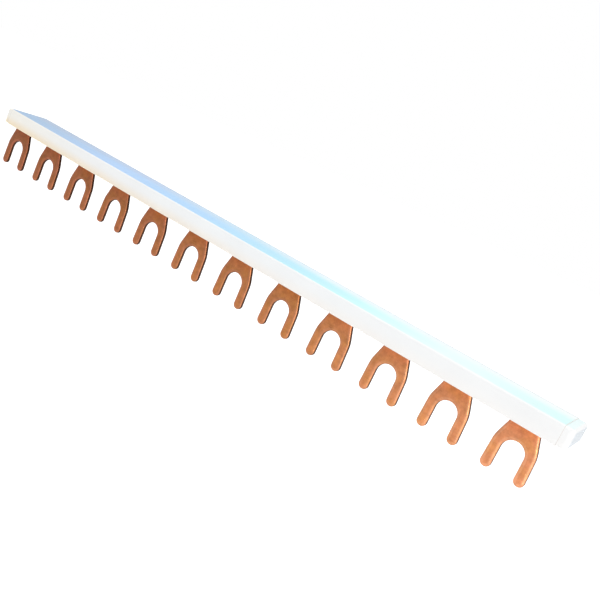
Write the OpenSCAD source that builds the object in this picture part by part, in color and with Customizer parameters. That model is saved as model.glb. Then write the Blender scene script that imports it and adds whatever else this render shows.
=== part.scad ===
// One-pole comb busbar with fork tongues.
// A copper strip is stamped with one fork tongue for each way, and every tongue is bent square
// to the flat spine that joins them. The spine slides into an extruded insulating sleeve, whose
// slotted underside lets the tongues out, and a moulded cap closes each end of the sleeve.
//
// Frame: X along the bar, from the first way to the last; Z up, away from the leg tips; the
// blades lie in the XZ plane, with Y = 0 at the middle of their thickness. The origin is the
// centre of the first fork's round slot end, where its terminal screw sits.

/* [Ways] */
// Number of fork tongues
ways = 12; // [2:1:24]
// Distance from one fork to the next
pitch = 17.8; // [14:0.1:27]

/* [Fork] */
// Width of the slot at its round end
slot_w = 5.8; // [4.2:0.1:6.6]
// Width of the slot at its mouth
mouth_w = 5.9; // [4.4:0.1:6.8]
// Width across the shoulders, where the legs begin
fork_w = 11.0; // [9.4:0.1:13]
// Width across the tips of the legs
tip_w = 11.4; // [9.8:0.1:13.4]
// Width of the neck that comes out of the sleeve
neck_w = 7.8; // [6:0.1:9]
// Length of a tongue below the sleeve
tongue_len = 13.1; // [11:0.1:18]
// Depth of solid copper between the sleeve and the slot
crown_len = 3.9; // [3:0.1:5]
// Drop from the sleeve to the foot of the shoulders, where the legs run straight
shoulder_drop = 6.6; // [5.6:0.1:7.4]
// Radius of the shoulders, between the flanks of the crown and the legs
shoulder_r = 9.0; // [4:0.5:12]
// Straight length of the neck below the sleeve
neck_drop = 0.2; // [0.1:0.1:1]

/* [Copper strip] */
// Thickness of the strip
strip_t = 1.2; // [0.8:0.1:2]
// Inside radius of the bend between a tongue and the spine
bend_r = 1.0; // [0.6:0.1:1.6]
// Depth of the strip, from the front of the blades to the back of the spine
strip_depth = 12.9; // [8:0.1:18]

/* [Sleeve] */
// Running clearance round whatever slides into the sleeve
slide_gap = 0.1; // [0.05:0.05:0.3]
// Wall in front of the tongues
front_wall = 1.1; // [0.9:0.1:2]
// Wall behind the spine
rear_wall = 1.3; // [0.9:0.1:2.5]
// Wall above the spine
roof_t = 2.1; // [1.4:0.1:3]
// Wall below the spine
floor_t = 2.0; // [1.4:0.1:3]
// Radius of the two upper edges
top_edge_r = 0.9; // [0.3:0.1:1.2]
// Radius of the two lower edges
foot_edge_r = 0.4; // [0.2:0.1:0.7]
// Length of sleeve past the last fork's centre line
end_margin = 7.5; // [6.6:0.1:12]

/* [End caps] */
// Thickness of the cap outside the sleeve
cap_t = 2.7; // [1.6:0.1:4]
// Radius of the cap's outer rim, above and below
rim_r = 1.3; // [0.3:0.1:1.5]
// Radius of the cap's upright corners, seen from above
corner_r = 1.6; // [0.3:0.1:1.6]
// Step from the sleeve's surface down to the cap's
cap_step = 0.15; // [0.05:0.05:0.4]
// Free space between the cap's plug and the spine
plug_gap = 0.5; // [0.2:0.1:1]

/* [Hidden] */
$fn = 64;

// Heights on a tongue, from the slot's round end at Z = 0
sleeve_z = slot_w / 2 + crown_len;
neck_z = sleeve_z - neck_drop;
shoulder_z = sleeve_z - shoulder_drop;
leg_r = (tip_w - mouth_w) / 4;
leg_x = (tip_w + mouth_w) / 4;
leg_z = sleeve_z - tongue_len + leg_r;

// Each flank of the crown runs straight from the corner of the neck until it touches the
// shoulder's arc, whose centre is [shoulder_x, shoulder_z]
shoulder_x = fork_w / 2 - shoulder_r;
to_neck_x = neck_w / 2 - shoulder_x;
to_neck_z = neck_z - shoulder_z;
touch_angle = atan2(to_neck_z, to_neck_x) - acos(shoulder_r / norm([to_neck_x, to_neck_z]));
flank_x = shoulder_x + shoulder_r * cos(touch_angle);
flank_z = shoulder_z + shoulder_r * sin(touch_angle);

// The bend and the spine, as places in the YZ section
blade_front = -strip_t / 2;
blade_back = strip_t / 2;
spine_z = sleeve_z + floor_t + slide_gap;
spine_top = spine_z + strip_t;
spine_back = blade_front + strip_depth;
bend_y = blade_back + bend_r;
bend_z = spine_z - bend_r;

// The sleeve's section
sleeve_front = blade_front - slide_gap - front_wall;
sleeve_back = spine_back + slide_gap + rear_wall;
sleeve_top = spine_top + slide_gap + roof_t;

// Places along the bar
last_x = (ways - 1) * pitch;
spine_end = last_x + neck_w / 2;
sleeve_end = last_x + end_margin;
plug_len = sleeve_end - spine_end - plug_gap;
cut = 1;

// A point in the middle of the bar, which both halves mirror about
mid_x = last_x / 2;

// Stands a YZ section up and runs it along X from x0 to x1
module along_bar(x0, x1) {
    translate([x0, 0, 0]) rotate([90, 0, 90]) linear_extrude(x1 - x0) children();
}

// The waste outside one rounded corner, whose square corner is at the origin
module corner_waste(r) {
    difference() {
        translate([-cut, -cut]) square(r + cut);
        translate([r, r]) circle(r);
    }
}

// A rectangle from [x0, y0] to [x1, y1] with a radius for each corner:
// lower left, lower right, upper right, upper left. A radius of 0 leaves it square.
module rounded_box(x0, y0, x1, y1, radii) {
    difference() {
        translate([x0, y0]) square([x1 - x0, y1 - y0]);
        if (radii[0] > 0) translate([x0, y0]) corner_waste(radii[0]);
        if (radii[1] > 0) translate([x1, y0]) mirror([1, 0]) corner_waste(radii[1]);
        if (radii[2] > 0) translate([x1, y1]) rotate(180) corner_waste(radii[2]);
        if (radii[3] > 0) translate([x0, y1]) mirror([0, 1]) corner_waste(radii[3]);
    }
}

// ---- Copper comb ----

// The crown: straight flanks that spread from the neck, then round shoulders
module crown_outline() {
    polygon([
        [-neck_w / 2, neck_z], [neck_w / 2, neck_z],
        [flank_x, flank_z], [-flank_x, flank_z]
    ]);
    intersection() {
        translate([-shoulder_x, shoulder_z]) circle(shoulder_r);
        translate([shoulder_x, shoulder_z]) circle(shoulder_r);
        translate([-fork_w / 2, shoulder_z]) square([fork_w, flank_z - shoulder_z]);
    }
}

// The pair of legs, with fully round tips and a slight splay
module legs_outline() {
    polygon([
        [-fork_w / 2, shoulder_z], [fork_w / 2, shoulder_z],
        [tip_w / 2, leg_z], [-tip_w / 2, leg_z]
    ]);
    for (side = [-1, 1]) translate([side * leg_x, leg_z]) circle(leg_r);
}

// The open slot that slips under a terminal screw
module slot_outline() {
    circle(slot_w / 2);
    polygon([
        [-slot_w / 2, 0], [slot_w / 2, 0],
        [mouth_w / 2, leg_z], [-mouth_w / 2, leg_z]
    ]);
}

// A whole tongue, flat, up to the start of the bend
module tongue_outline() {
    translate([-neck_w / 2, neck_z]) square([neck_w, bend_z - neck_z]);
    difference() {
        union() {
            crown_outline();
            legs_outline();
        }
        slot_outline();
    }
}

// The quarter turn from blade to spine, thicker all round by gap
module bend_section(gap) {
    intersection() {
        difference() {
            translate([bend_y, bend_z]) circle(bend_r + strip_t + gap);
            translate([bend_y, bend_z]) circle(bend_r - gap);
        }
        translate([blade_front - gap, bend_z])
            square([bend_y - blade_front + gap, bend_r + strip_t + gap]);
    }
}

// The flat spine behind the bend, thicker all round by gap
module spine_section(gap) {
    translate([bend_y, spine_z - gap])
        square([spine_back + gap - bend_y, strip_t + 2 * gap]);
}

// One tongue with its bend, at the first way
module tongue() {
    rotate([90, 0, 0]) linear_extrude(strip_t, center = true) tongue_outline();
    along_bar(-neck_w / 2, neck_w / 2) bend_section(0);
}

module copper_comb() {
    color("peru") union() {
        for (way = [0 : ways - 1]) translate([way * pitch, 0, 0]) tongue();
        along_bar(last_x - spine_end, spine_end) spine_section(0);
    }
}

// ---- Insulating sleeve ----

// The outline of the sleeve's section, or of one that is smaller all round by step
module sleeve_outline(step) {
    top_r = top_edge_r - step / 2;
    foot_r = foot_edge_r - step / 2;
    rounded_box(sleeve_front + step, sleeve_z + step, sleeve_back - step, sleeve_top - step,
                [foot_r, foot_r, top_r, top_r]);
}

// The way out for the tongues, open along the whole underside
module tongue_slot() {
    translate([blade_front - slide_gap, sleeve_z - cut])
        square([strip_t + 2 * slide_gap, bend_z - sleeve_z + cut]);
}

module insulating_sleeve() {
    color("aliceblue") along_bar(last_x - sleeve_end, sleeve_end) difference() {
        sleeve_outline(0);
        bend_section(slide_gap);
        spine_section(slide_gap);
        tongue_slot();
    }
}

// ---- End caps ----

// The cap's body: the sleeve's outline, with its outer rim rounded in side view and in plan
module cap_body() {
    cap_end = sleeve_end + cap_t;
    intersection() {
        along_bar(sleeve_end, cap_end) sleeve_outline(cap_step);
        translate([0, sleeve_back, 0]) rotate([90, 0, 0]) linear_extrude(sleeve_back - sleeve_front)
            rounded_box(sleeve_end, sleeve_z + cap_step, cap_end, sleeve_top - cap_step,
                        [0, rim_r, rim_r, 0]);
        translate([0, 0, sleeve_z]) linear_extrude(sleeve_top - sleeve_z)
            rounded_box(sleeve_end, sleeve_front + cap_step, cap_end, sleeve_back - cap_step,
                        [0, corner_r, corner_r, 0]);
    }
}

// The flat plug that fills the spine's channel past the end of the strip
module cap_plug() {
    translate([sleeve_end - plug_len, bend_y, spine_z])
        cube([plug_len, spine_back - bend_y, strip_t]);
}

module right_end_cap() {
    color("white") union() {
        cap_body();
        cap_plug();
    }
}

module left_end_cap() {
    translate([mid_x, 0, 0]) mirror([1, 0, 0]) translate([-mid_x, 0, 0]) right_end_cap();
}

copper_comb();
insulating_sleeve();
left_end_cap();
right_end_cap();
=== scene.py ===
import math

import bpy
import bmesh
from mathutils import Matrix, Quaternion, Vector


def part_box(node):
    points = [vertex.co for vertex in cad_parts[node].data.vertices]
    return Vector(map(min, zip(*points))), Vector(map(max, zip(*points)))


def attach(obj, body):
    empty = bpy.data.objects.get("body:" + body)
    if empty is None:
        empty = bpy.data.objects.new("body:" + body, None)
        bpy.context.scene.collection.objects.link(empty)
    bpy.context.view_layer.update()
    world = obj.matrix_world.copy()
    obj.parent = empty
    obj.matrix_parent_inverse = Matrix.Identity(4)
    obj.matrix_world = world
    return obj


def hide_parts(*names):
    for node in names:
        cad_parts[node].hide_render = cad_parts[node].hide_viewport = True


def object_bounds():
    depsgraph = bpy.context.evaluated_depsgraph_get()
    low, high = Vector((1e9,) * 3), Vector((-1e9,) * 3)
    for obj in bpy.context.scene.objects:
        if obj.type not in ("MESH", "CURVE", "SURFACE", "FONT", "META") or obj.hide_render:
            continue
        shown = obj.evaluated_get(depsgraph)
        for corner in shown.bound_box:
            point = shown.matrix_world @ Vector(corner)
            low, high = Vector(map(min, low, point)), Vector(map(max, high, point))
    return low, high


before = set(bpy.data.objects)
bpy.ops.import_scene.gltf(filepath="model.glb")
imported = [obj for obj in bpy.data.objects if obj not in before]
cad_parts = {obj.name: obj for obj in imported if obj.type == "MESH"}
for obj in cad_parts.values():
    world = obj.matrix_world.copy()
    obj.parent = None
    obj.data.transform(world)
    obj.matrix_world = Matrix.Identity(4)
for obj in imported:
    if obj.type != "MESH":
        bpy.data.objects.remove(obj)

cad_low, cad_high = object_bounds()
sleeve_low, sleeve_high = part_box("insulating_sleeve")

# ---------------------------------------------------------------------------
# Camera
# It stands in front of the last fork, a little above the sleeve, and looks back
# along the bar, so the near forks look about twice as large as the far ones. It
# is rolled, so that the bar falls across the view from upper left to lower right.
# ---------------------------------------------------------------------------
camera_past_end = 0.0194
camera_in_front = 0.1693
camera_above_sleeve = 0.0341
camera_turn = Vector((1.5911, 0.7937, -0.0562))  # axis times angle, from the world to the view
half_turn_about_x = Quaternion((0, 1, 0, 0))     # the view looks along +Z, a camera along -Z
focal_length = 44.26
sensor_width = 36.0

camera_data = bpy.data.cameras.new("camera")
camera_data.sensor_width = sensor_width
camera_data.lens = focal_length
camera_data.clip_start = 0.005
camera_data.clip_end = 20.0
camera = bpy.data.objects.new("camera", camera_data)
bpy.context.scene.collection.objects.link(camera)
bpy.context.scene.camera = camera
camera.location = (
    sleeve_high.x + camera_past_end,
    sleeve_low.y - camera_in_front,
    sleeve_high.z + camera_above_sleeve,
)
world_to_view = Quaternion(camera_turn.normalized(), camera_turn.length)
camera.rotation_mode = "QUATERNION"
camera.rotation_quaternion = world_to_view.inverted() @ half_turn_about_x

# ---------------------------------------------------------------------------
# Copper comb
# One strip of bare copper, blanked with open forks and folded square along the
# bar. The punch rolls the front edges over and leaves torn cut walls. The rolled
# edges carry a painted highlight, and the cut walls and the outer rims of the
# rolled edges are painted dark as shade. The sheet keeps faint rolling marks. It
# is darker towards the far end as painted shade, and redder and darker at the
# roots, partly oxide and partly painted shade from the sleeve.
# ---------------------------------------------------------------------------
weld_distance = 1e-6
flat_within = math.radians(0.5)
front_roll_width = 0.00080
front_roll_depth = 0.00042
front_roll_steps = 5
back_break = 0.00012
back_break_steps = 2
sharp_edge = math.radians(40)
smooth_edge = math.radians(32)
bevel_reach = sleeve_low.z + 0.002
# Rolled-edge faces turned further than this from the sheet take the near-black cut-wall colour, a
# painted rim of shade.
shaded_rim_beyond = math.cos(math.radians(50))
SHEET, ROLL, CUT = 0, 1, 2

# The colours run from the far end of the bar (0) to the near end (1), and the
# far end is darker as painted shade.
copper_stops = (0.03, 0.35, 0.65, 0.97)
sheet_colours = [
    (0.225, 0.076, 0.031), (0.290, 0.104, 0.042), (0.365, 0.142, 0.055), (0.525, 0.205, 0.096),
]
# The rolled edges are lighter than the sheet: a painted highlight.
roll_highlight_colours = [
    (0.275, 0.094, 0.050), (0.300, 0.112, 0.056), (0.365, 0.148, 0.070), (0.560, 0.248, 0.130),
]
# The cut walls are near black: painted shade on a rougher sheared wall.
cut_shade_colours = [
    (0.060, 0.024, 0.014), (0.065, 0.027, 0.016), (0.070, 0.030, 0.018), (0.075, 0.034, 0.021),
]

# Heights are measured from the round end of a fork's slot, and tones multiply the colour.
pale_from, pale_to = 0.0040, -0.0030
pale_tone = 1.13
# At the roots the copper turns redder and darker: partly oxide, partly painted shade from the sleeve.
red_from, red_to = 0.0035, 0.0066
root_oxide_and_shade_amount = 0.55
root_oxide_and_shade_tone = (1.04, 0.74, 0.62)
golden_scale = 230.0
golden_tone = (1.00, 1.04, 0.84)
mottle_scale = 820.0
mottle_dark, mottle_bright = 0.80, 1.16
copper_scuffs = 0.8
copper_scuff_tone = (0.62, 0.58, 0.60)
rolling_scale = 520.0
scuff_patch_scale = 210.0
scuff_line_scale = 900.0
scuff_line_stretch = (0.35, 1.0, 5.0)


def copy_of_node(node, name):
    """A new object with the node's shape, its loose triangles joined into clean faces."""
    bpy.ops.object.select_all(action="DESELECT")
    piece = bpy.data.objects.new(name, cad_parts[node].data.copy())
    piece.data.materials.clear()
    bpy.context.scene.collection.objects.link(piece)
    piece.select_set(True)
    bpy.context.view_layer.objects.active = piece
    bpy.ops.mesh.customdata_custom_splitnormals_clear()
    bpy.ops.object.mode_set(mode="EDIT")
    bpy.ops.mesh.select_all(action="SELECT")
    bpy.ops.mesh.remove_doubles(threshold=weld_distance)
    bpy.ops.mesh.dissolve_limited(angle_limit=flat_within)
    bpy.ops.mesh.select_all(action="DESELECT")
    bpy.ops.object.mode_set(mode="OBJECT")
    return piece


def roll_outline(piece, side, width, depth, steps):
    """Rounds the edges of the faces that look along side (-1 front, 1 back)."""
    piece.data.transform(Matrix.Diagonal((1.0, width / depth, 1.0, 1.0)))
    shape = bmesh.new()
    shape.from_mesh(piece.data)
    chosen = [
        edge.index for edge in shape.edges
        if len(edge.link_faces) == 2
        and edge.calc_face_angle(0) > sharp_edge
        and all(vert.co.z < bevel_reach for vert in edge.verts)
        and any(face.normal.y * side > 0.9 for face in edge.link_faces)
    ]
    shape.free()
    bpy.ops.object.select_all(action="DESELECT")
    piece.select_set(True)
    bpy.context.view_layer.objects.active = piece
    bpy.ops.object.mode_set(mode="EDIT")
    bpy.ops.mesh.select_mode(type="EDGE")
    bpy.ops.mesh.select_all(action="DESELECT")
    bpy.ops.object.mode_set(mode="OBJECT")
    for index in chosen:
        piece.data.edges[index].select = True
    bpy.ops.object.mode_set(mode="EDIT")
    bpy.ops.mesh.bevel(offset=width, segments=steps, profile=0.5, affect="EDGES", material=ROLL)
    bpy.ops.mesh.select_all(action="DESELECT")
    bpy.ops.object.mode_set(mode="OBJECT")
    piece.data.transform(Matrix.Diagonal((1.0, depth / width, 1.0, 1.0)))


def new_material(name):
    """A material, its node list, its links and its shader."""
    material = bpy.data.materials.new(name)
    material.use_nodes = True
    tree = material.node_tree
    return material, tree.nodes, tree.links, tree.nodes["Principled BSDF"]


def new_group(name, inputs, outputs):
    """A shader node group with named number or vector inputs and outputs."""
    group = bpy.data.node_groups.new(name, "ShaderNodeTree")
    for in_out, sockets in (("INPUT", inputs), ("OUTPUT", outputs)):
        for socket_name, kind in sockets:
            group.interface.new_socket(name=socket_name, in_out=in_out, socket_type=kind)
    start = group.nodes.new("NodeGroupInput")
    end = group.nodes.new("NodeGroupOutput")
    return group, group.nodes, group.links, start, end


def place_group(nodes, group):
    """The group as one node of a material."""
    node = nodes.new("ShaderNodeGroup")
    node.node_tree = group
    return node


def span(nodes, links, value, low, high, to_low=0.0, to_high=1.0, smooth=False):
    """Turns value between low and high into a number between to_low and to_high."""
    node = nodes.new("ShaderNodeMapRange")
    node.interpolation_type = "SMOOTHSTEP" if smooth else "LINEAR"
    node.inputs["From Min"].default_value = low
    node.inputs["From Max"].default_value = high
    node.inputs["To Min"].default_value = to_low
    node.inputs["To Max"].default_value = to_high
    links.new(value, node.inputs["Value"])
    return node.outputs["Result"]


def product(nodes, links, first, second):
    """Two numbers multiplied."""
    node = nodes.new("ShaderNodeMath")
    node.operation = "MULTIPLY"
    links.new(first, node.inputs[0])
    links.new(second, node.inputs[1])
    return node.outputs[0]


def noise(nodes, links, vector, scale, detail, roughness=0.5):
    """Soft random mottling, scale to the metre."""
    node = nodes.new("ShaderNodeTexNoise")
    node.inputs["Scale"].default_value = scale
    node.inputs["Detail"].default_value = detail
    node.inputs["Roughness"].default_value = roughness
    links.new(vector, node.inputs["Vector"])
    return node.outputs["Fac"]


def stretched(nodes, links, vector, scale):
    """The vector drawn out, so that a pattern on it becomes streaks."""
    node = nodes.new("ShaderNodeMapping")
    node.inputs["Scale"].default_value = scale
    links.new(vector, node.inputs["Vector"])
    return node.outputs["Vector"]


def mixed(nodes, links, factor, first, second, blend="MIX"):
    """Two colours mixed by a mask. With MULTIPLY, the second is a tone laid on the first."""
    node = nodes.new("ShaderNodeMix")
    node.data_type = "RGBA"
    node.blend_type = blend
    factor_socket, first_socket, second_socket = node.inputs[0], node.inputs[6], node.inputs[7]
    sockets = (factor_socket, first_socket, second_socket)
    for socket, value in zip(sockets, (factor, first, second)):
        if isinstance(value, bpy.types.NodeSocket):
            links.new(value, socket)
        elif isinstance(value, tuple):
            socket.default_value = (*value, 1.0)
        else:
            socket.default_value = value
    return node.outputs[2]


def ramp(nodes, links, place, stops):
    """A colour that follows place through the (place, colour) stops."""
    node = nodes.new("ShaderNodeValToRGB")
    elements = node.color_ramp.elements
    while len(elements) < len(stops):
        elements.new(0.5)
    for element, (position, colour) in zip(elements, stops):
        element.position = position
        element.color = (*colour, 1.0)
    links.new(place, node.inputs["Fac"])
    return node.outputs["Color"]


bar_place, nodes, links, start, end = new_group(
    "bar_place", [("Place", "NodeSocketVector")],
    [("Along", "NodeSocketFloat"), ("Depth", "NodeSocketFloat"), ("Height", "NodeSocketFloat")],
)
split = nodes.new("ShaderNodeSeparateXYZ")
links.new(start.outputs["Place"], split.inputs["Vector"])
links.new(span(nodes, links, split.outputs["X"], sleeve_low.x, sleeve_high.x), end.inputs["Along"])
links.new(split.outputs["Y"], end.inputs["Depth"])
links.new(split.outputs["Z"], end.inputs["Height"])

handling, nodes, links, start, end = new_group(
    "handling_marks", [("Place", "NodeSocketVector"), ("Amount", "NodeSocketFloat")],
    [("Marks", "NodeSocketFloat")],
)
patches = noise(nodes, links, start.outputs["Place"], scuff_patch_scale, 4.0, 0.62)
patches = span(nodes, links, patches, 0.50, 0.72)
lines = stretched(nodes, links, start.outputs["Place"], scuff_line_stretch)
lines = span(nodes, links, noise(nodes, links, lines, scuff_line_scale, 3.0), 0.46, 0.70)
scuffs = product(nodes, links, patches, lines)
links.new(product(nodes, links, scuffs, start.outputs["Amount"]), end.inputs["Marks"])


def scuffed(nodes, links, place, tint, amount, tone):
    """The tint with the marks of handling laid on it."""
    marks = place_group(nodes, handling)
    links.new(place, marks.inputs["Place"])
    marks.inputs["Amount"].default_value = amount
    return mixed(nodes, links, marks.outputs["Marks"], tint, tone, "MULTIPLY")


def textured(nodes, links, shader, texture, smoothest, roughest, strength, relief):
    """Gives the shader its roughness and its fine relief, both from one texture."""
    links.new(span(nodes, links, texture, 0.3, 0.7, smoothest, roughest), shader.inputs["Roughness"])
    bump = nodes.new("ShaderNodeBump")
    bump.inputs["Strength"].default_value = strength
    bump.inputs["Distance"].default_value = relief
    links.new(texture, bump.inputs["Height"])
    links.new(bump.outputs["Normal"], shader.inputs["Normal"])


def copper(name, colours, roughness, streaks, relief):
    """Bare copper: darker at the far end as painted shade, paler on the tines, and redder and darker
    at the roots, partly oxide and partly painted shade from the sleeve.
    """
    material, nodes, links, shader = new_material(name)
    place = nodes.new("ShaderNodeTexCoord").outputs["Object"]
    where = place_group(nodes, bar_place)
    links.new(place, where.inputs["Place"])
    height = where.outputs["Height"]
    tint = ramp(nodes, links, where.outputs["Along"], list(zip(copper_stops, colours)))
    on_tine = span(nodes, links, height, pale_from, pale_to, 1.0, pale_tone, smooth=True)
    tint = mixed(nodes, links, 1.0, tint, on_tine, "MULTIPLY")
    # Redder and darker at the roots: oxide and painted shade from the sleeve.
    root_oxide_and_shade_mask = span(nodes, links, height, red_from, red_to, 0.0, root_oxide_and_shade_amount, smooth=True)
    tint = mixed(nodes, links, root_oxide_and_shade_mask, tint, root_oxide_and_shade_tone, "MULTIPLY")
    golden = span(nodes, links, noise(nodes, links, place, golden_scale, 3.0), 0.46, 0.62, 0.0, 0.8)
    tint = mixed(nodes, links, golden, tint, golden_tone, "MULTIPLY")
    mottle = noise(nodes, links, place, mottle_scale, 6.0, 0.65)
    mottle = span(nodes, links, mottle, 0.32, 0.68, mottle_dark, mottle_bright)
    tint = mixed(nodes, links, 1.0, tint, mottle, "MULTIPLY")
    tint = scuffed(nodes, links, place, tint, copper_scuffs, copper_scuff_tone)
    links.new(tint, shader.inputs["Base Color"])
    shader.inputs["Metallic"].default_value = 1.0
    lines = noise(nodes, links, stretched(nodes, links, place, streaks), rolling_scale, 4.0, 0.6)
    textured(nodes, links, shader, lines, roughness - 0.07, roughness + 0.11, 0.6, relief)
    return material


comb = copy_of_node("copper_comb", "fork_comb")
along_bar = (1.0, 9.0, 9.0)
through_sheet = (9.0, 1.0, 9.0)
for name, colours, roughness, streaks, relief in (
    ("copper_sheet", sheet_colours, 0.36, along_bar, 0.00002),
    # The rolled-edge material carries a painted highlight, and the cut-wall material painted shade.
    ("copper_rolled_edge_highlight", roll_highlight_colours, 0.40, along_bar, 0.00001),
    ("copper_cut_wall_shade", cut_shade_colours, 0.48, through_sheet, 0.00004),
):
    comb.data.materials.append(copper(name, colours, roughness, streaks, relief))
roll_outline(comb, -1, front_roll_width, front_roll_depth, front_roll_steps)
roll_outline(comb, 1, back_break, back_break, back_break_steps)
# The sides of the forks and the most sideways rolled-edge faces take the near-black colour: painted
# shade along the rims.
for face in comb.data.polygons:
    sideways = abs(face.normal.y)
    shaded_rim = face.material_index == ROLL and sideways < shaded_rim_beyond
    if shaded_rim or (face.material_index == SHEET and sideways < 0.2 and face.center.z < sleeve_low.z):
        face.material_index = CUT
bpy.ops.object.select_all(action="DESELECT")
comb.select_set(True)
bpy.context.view_layer.objects.active = comb
bpy.ops.object.shade_smooth_by_angle(angle=smooth_edge)
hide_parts("copper_comb")
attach(comb, "root")

# ---------------------------------------------------------------------------
# Insulating sleeve
# One length of extruded rigid plastic, smooth and slightly glossy, pushed over
# the comb's spine from one end. Its flat roof carries a painted reflection: pale
# blue, turning pale cyan and white towards the near end and the rear. Its rounded
# edge and walls are off-white, with painted shade and reflected copper towards
# their lower edge, a painted shade line along the roof's rear edge, and painted
# shade at the seams with the caps. The die leaves fine straight lines along its
# length.
# ---------------------------------------------------------------------------
roof_edge = sleeve_high.z - 0.00030
roof_flat = sleeve_high.z - 0.00003
roof_front, roof_rear = 0.0035, 0.0115
# The roof's pale blue, paler and cyan towards the near end and whiter towards the rear, is a painted
# reflection.
roof_front_reflection_colours = [
    (0.04, (0.33, 0.50, 0.72)), (0.25, (0.41, 0.62, 0.93)), (0.45, (0.42, 0.69, 0.98)),
    (0.62, (0.49, 0.85, 0.97)), (0.72, (0.60, 0.98, 0.99)), (0.85, (0.83, 0.99, 0.99)),
    (1.00, (0.70, 0.99, 0.97)),
]
roof_rear_reflection_colours = [
    (0.04, (0.42, 0.53, 0.69)), (0.30, (0.49, 0.62, 0.82)), (0.50, (0.60, 0.80, 0.92)),
    (0.65, (0.84, 0.95, 0.99)), (1.00, (0.93, 0.99, 0.98)),
]
wall_colours = [
    (0.02, (0.98, 0.96, 0.90)), (0.20, (0.95, 0.96, 0.96)), (0.50, (0.94, 0.96, 0.97)),
    (1.00, (0.93, 0.935, 0.935)),
]
# Towards their lower edge the walls turn tan, most at the far end: painted shade and reflected copper.
foot_line = sleeve_low.z + 0.0034
foot_shade_and_reflection_colours = [
    (0.02, (0.96, 0.82, 0.60)), (0.30, (0.95, 0.86, 0.73)), (0.60, (0.95, 0.92, 0.88)),
    (1.00, (0.955, 0.95, 0.94)),
]
# A grey-blue line along the roof's rear edge is painted shade.
back_line = sleeve_high.y - 0.00150
back_line_fade = 0.0005
rear_edge_shade_amount = 0.9
rear_edge_shade_colour = (0.27, 0.33, 0.41)
# The sleeve's cut ends are greyer, a painted shade line at the seams with the caps.
sleeve_end_line = 0.00018
sleeve_seam_shade_colour = (0.80, 0.77, 0.74)
end_full = 0.00005
cloud_scale = 90.0
plastic_scuffs = 0.25
plastic_scuff_tone = (0.90, 0.90, 0.90)
plastic_relief = 0.00002


def plastic(name, front_stops, rear_stops, ends, end_width, end_shade_colour, roughness, grain, grain_scale):
    """Rigid plastic with a roof tinted by a painted reflection, pale walls with painted shade and
    reflected copper at their foot, a painted shade line along the roof's rear edge, and greyer faces
    of painted shade at its two ends.
    """
    material, nodes, links, shader = new_material(name)
    place = nodes.new("ShaderNodeTexCoord").outputs["Object"]
    where = place_group(nodes, bar_place)
    links.new(place, where.inputs["Place"])
    along, depth, height = (where.outputs[way] for way in ("Along", "Depth", "Height"))
    # The roof colour is a painted reflection.
    behind = span(nodes, links, depth, roof_front, roof_rear, smooth=True)
    front = ramp(nodes, links, along, front_stops)
    rear = ramp(nodes, links, along, rear_stops)
    roof = mixed(nodes, links, behind, front, rear)
    wall = ramp(nodes, links, along, wall_colours)
    # Painted shade and reflected copper towards the foot of the walls.
    foot = ramp(nodes, links, along, foot_shade_and_reflection_colours)
    on_foot = span(nodes, links, height, foot_line, sleeve_low.z, smooth=True)
    on_roof = span(nodes, links, height, roof_edge, roof_flat, smooth=True)
    tint = mixed(nodes, links, on_roof, mixed(nodes, links, on_foot, wall, foot), roof)
    # Painted shade along the roof's rear edge.
    rear_edge_shade_mask = span(
        nodes, links, depth, back_line, back_line + back_line_fade, 0.0, rear_edge_shade_amount, smooth=True,
    )
    tint = mixed(nodes, links, product(nodes, links, rear_edge_shade_mask, on_roof), tint, rear_edge_shade_colour)
    split = nodes.new("ShaderNodeSeparateXYZ")
    links.new(place, split.inputs["Vector"])
    # The faces at the two ends are greyer: painted shade.
    for end, inward in zip(ends, (1, -1)):
        edge = end + inward * end_width
        face = end + inward * end_full
        on_end = span(nodes, links, split.outputs["X"], edge, face, smooth=True)
        tint = mixed(nodes, links, on_end, tint, end_shade_colour)
    clouds = span(nodes, links, noise(nodes, links, place, cloud_scale, 3.0), 0.3, 0.7, 0.985, 1.01)
    tint = mixed(nodes, links, 1.0, tint, clouds, "MULTIPLY")
    tint = scuffed(nodes, links, place, tint, plastic_scuffs, plastic_scuff_tone)
    links.new(tint, shader.inputs["Base Color"])
    shader.inputs["Specular IOR Level"].default_value = 0.3
    texture = noise(nodes, links, stretched(nodes, links, place, grain), grain_scale, 3.0)
    textured(nodes, links, shader, texture, roughness - 0.05, roughness + 0.08, 0.35, plastic_relief)
    return material


sleeve_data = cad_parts["insulating_sleeve"].data
sleeve_data.materials.clear()
sleeve_data.materials.append(plastic(
    "sleeve_plastic", roof_front_reflection_colours, roof_rear_reflection_colours,
    ends=(sleeve_low.x, sleeve_high.x), end_width=sleeve_end_line, end_shade_colour=sleeve_seam_shade_colour,
    roughness=0.42, grain=(0.02, 1.0, 1.0), grain_scale=1500.0,
))

# ---------------------------------------------------------------------------
# End caps
# Two small mouldings in satin white plastic. Each has a flat plug that pushes
# into the sleeve's channel, and a rounded cover with a grained end face that
# shuts the cut end of the sleeve. The end face is painted greyer as shade, and the
# caps' roof turns from cream to pale cyan towards the near end as a painted
# reflection.
# ---------------------------------------------------------------------------
# The caps' roof turns from cream to pale cyan towards the near end, a painted reflection; their outer
# end faces are greyer, painted shade.
cap_roof_reflection_colours = [(0.02, (0.93, 0.92, 0.88)), (1.00, (0.78, 0.99, 0.99))]
cap_end_edge = 0.00035
cap_end_shade_colour = (0.76, 0.81, 0.85)

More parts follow.
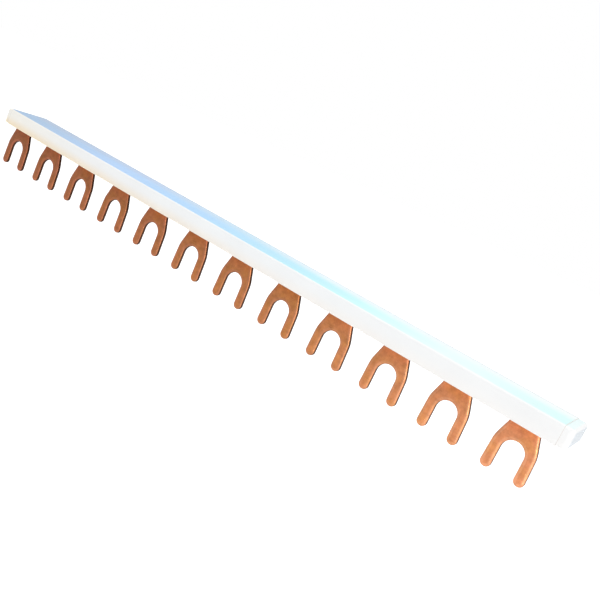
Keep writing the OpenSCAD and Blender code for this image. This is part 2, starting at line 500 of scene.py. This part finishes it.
cap_plastic = plastic(
    "cap_plastic", cap_roof_reflection_colours, cap_roof_reflection_colours,
    ends=(cad_low.x, cad_high.x), end_width=cap_end_edge, end_shade_colour=cap_end_shade_colour,
    roughness=0.50, grain=(1.0, 1.0, 1.0), grain_scale=5200.0,
)
for node in ("left_end_cap", "right_end_cap"):
    cap_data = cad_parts[node].data
    cap_data.materials.clear()
    cap_data.materials.append(cap_plastic)

# ---------------------------------------------------------------------------
# Studio
# A white room: the sky lights softly, and is plain white to the camera and in
# reflections. A large lamp hangs above the bar, and a low one in front of the
# near end gives the rolled copper edges their bright line.
# ---------------------------------------------------------------------------
sky_light = 0.60
floor_drop = 0.06
floor_radius = 3.0
floor_glow = 0.62
middle = (cad_low + cad_high) / 2


def seen_directly(nodes, links):
    """1 for rays from the camera, from gloss and through glass, and otherwise 0."""
    path = nodes.new("ShaderNodeLightPath")
    result = path.outputs["Is Camera Ray"]
    for kind in ("Is Glossy Ray", "Is Transmission Ray"):
        either = nodes.new("ShaderNodeMath")
        either.operation = "MAXIMUM"
        links.new(result, either.inputs[0])
        links.new(path.outputs[kind], either.inputs[1])
        result = either.outputs[0]
    return result


def lamp(name, size, energy, offset):
    """A round soft lamp at an offset from the bar's middle, turned towards it."""
    light = bpy.data.lights.new(name, "AREA")
    light.shape = "DISK"
    light.size = size
    light.energy = energy
    holder = bpy.data.objects.new(name, light)
    bpy.context.scene.collection.objects.link(holder)
    holder.location = middle + Vector(offset)
    holder.rotation_mode = "QUATERNION"
    holder.rotation_quaternion = (-Vector(offset)).to_track_quat("-Z", "Y")


world = bpy.data.worlds.new("studio")
bpy.context.scene.world = world
world.use_nodes = True
nodes, links = world.node_tree.nodes, world.node_tree.links
background = nodes["Background"]
background.inputs["Color"].default_value = (1.0, 1.0, 1.0, 1.0)
seen = seen_directly(nodes, links)
links.new(span(nodes, links, seen, 0.0, 1.0, sky_light, 1.0), background.inputs["Strength"])
lamp("upper_lamp", size=0.50, energy=2.1, offset=(0.05, 0.10, 0.68))
lamp("low_lamp", size=0.20, energy=2.4, offset=(0.58, -0.70, 0.03))

# The floor glows where it is seen directly, and can be seen through from below.
bpy.ops.object.select_all(action="DESELECT")
bpy.ops.mesh.primitive_circle_add(
    vertices=64, radius=floor_radius, fill_type="NGON",
    location=(middle.x, middle.y, cad_low.z - floor_drop),
)
floor = bpy.context.object
floor.name = "floor"
bpy.ops.object.transform_apply(location=True)
material, nodes, links, shader = new_material("floor_white")
shader.inputs["Base Color"].default_value = (0.92, 0.92, 0.92, 1.0)
shader.inputs["Roughness"].default_value = 0.9
shader.inputs["Specular IOR Level"].default_value = 0.0
shader.inputs["Emission Color"].default_value = (1.0, 1.0, 1.0, 1.0)
seen = seen_directly(nodes, links)
links.new(span(nodes, links, seen, 0.0, 1.0, 0.0, floor_glow), shader.inputs["Emission Strength"])
below = nodes.new("ShaderNodeNewGeometry").outputs["Backfacing"]
clear = nodes.new("ShaderNodeBsdfTransparent")
either_side = nodes.new("ShaderNodeMixShader")
links.new(below, either_side.inputs["Fac"])
links.new(shader.outputs["BSDF"], either_side.inputs[1])
links.new(clear.outputs["BSDF"], either_side.inputs[2])
links.new(either_side.outputs["Shader"], nodes["Material Output"].inputs["Surface"])
floor.data.materials.append(material)

bpy.context.scene.view_settings.view_transform = "Standard"
